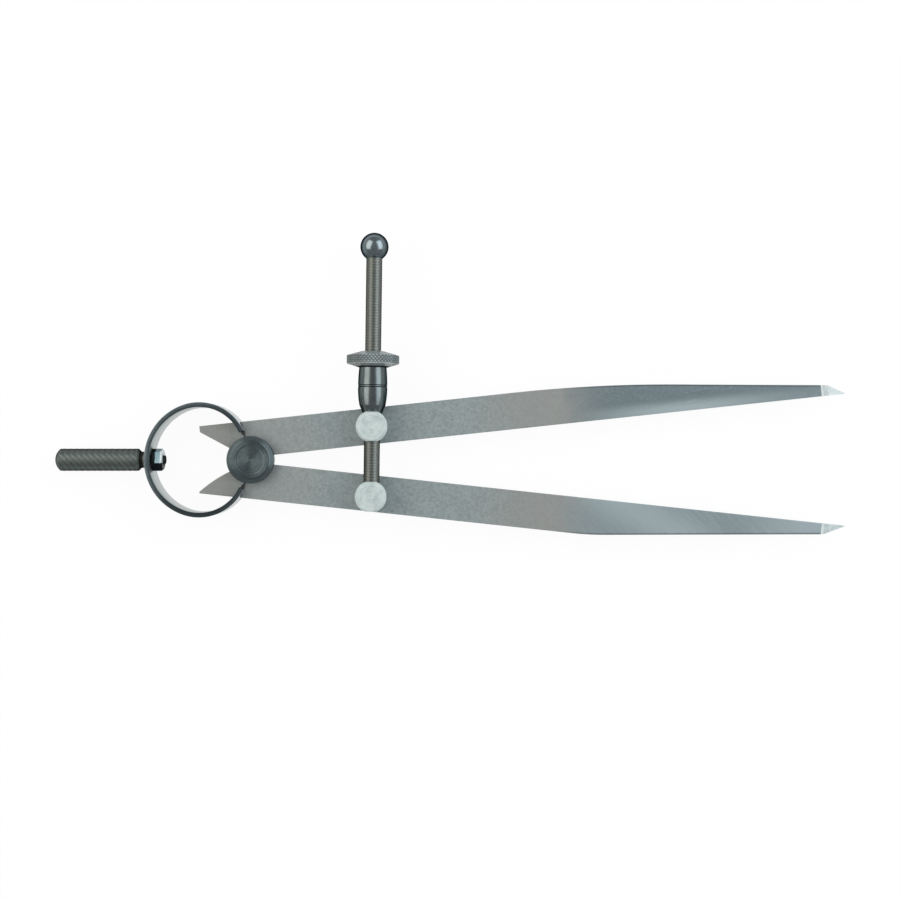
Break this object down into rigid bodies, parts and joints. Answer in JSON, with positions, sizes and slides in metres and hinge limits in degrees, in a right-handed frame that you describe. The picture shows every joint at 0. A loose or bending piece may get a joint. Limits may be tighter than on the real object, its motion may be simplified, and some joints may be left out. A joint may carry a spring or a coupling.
{
  "type": "spring divider",
  "caption": "Spring divider: flat legs with brazed carbide points ride on a grooved roller, opened by a bow spring and set by a quick split nut on a cross screw.",
  "frame": {"origin": "centre of the roller's rear face, which lies on the table when the divider lies on its back", "axes": "+X along the centre line from the roller to the points, -X to the handle, +Y towards the ball end of the screw, +Z out of the front face"},
  "size_m": [0.1985, 0.0751, 0.0161],
  "materials": {
    "leg_steel": "satin, matte blasted with ground ends",
    "spring_steel": "tempered, dark blue-grey",
    "blued_steel": "blued, satin",
    "plated_steel": "bright zinc plated",
    "carbide": "fine ground",
    "silver_braze": "bright silver braze"
  },
  "bodies": {
    "bow": {"bow_spring": "spring_steel", "handle": "blued_steel", "handle_lock_washer": "blued_steel", "handle_nut": "plated_steel", "fulcrum_roller": "blued_steel"},
    "upper_leg": {"upper_leg": "leg_steel", "upper_point": "carbide", "upper_braze": "silver_braze"},
    "lower_leg": {"lower_leg": "leg_steel", "lower_point": "carbide", "lower_braze": "silver_braze"},
    "upper_swivel": {"upper_stud": "plated_steel", "upper_stud_washer": "leg_steel"},
    "lower_swivel": {"lower_stud": "plated_steel", "lower_stud_washer": "leg_steel", "adjusting_screw": "blued_steel", "screw_ball": "blued_steel"},
    "nut": {"nut_half_front": "blued_steel", "nut_half_rear": "blued_steel", "nut_ring": "blued_steel"}
  },
  "joints": [
    {"name": "upper_leg_open", "type": "hinge", "parent": "bow", "child": "upper_leg", "pos_m": [0, 0, 0.0045], "axis": [0, 0, 1], "range_deg": [-6.3, 24], "deforming": ["bow_spring"]},
    {"name": "lower_leg_open", "type": "hinge", "parent": "bow", "child": "lower_leg", "pos_m": [0, 0, 0.0045], "axis": [0, 0, -1], "range_deg": [-6.3, 24], "deforming": ["bow_spring"]},
    {"name": "upper_swivel_turn", "type": "hinge", "parent": "upper_leg", "child": "upper_swivel", "pos_m": [0.03046, 0.00828, 0.0045], "axis": [0, 0, -1], "range_deg": [-6.3, 24]},
    {"name": "lower_swivel_turn", "type": "hinge", "parent": "lower_leg", "child": "lower_swivel", "pos_m": [0.03023, -0.00907, 0.0045], "axis": [0, 0, 1], "range_deg": [-6.3, 24]},
    {"name": "nut_turn", "type": "hinge", "parent": "upper_swivel", "child": "nut", "pos_m": [0.0306, 0.0191, 0.0096], "axis": [0.0131, 0.9999, 0], "continuous": true}
  ],
  "couplings": [
    {"joint": "lower_leg_open", "follows": "upper_leg_open", "ratio": 1},
    {"joint": "upper_swivel_turn", "follows": "upper_leg_open", "ratio": 1},
    {"joint": "lower_swivel_turn", "follows": "upper_leg_open", "ratio": 1}
  ]
}
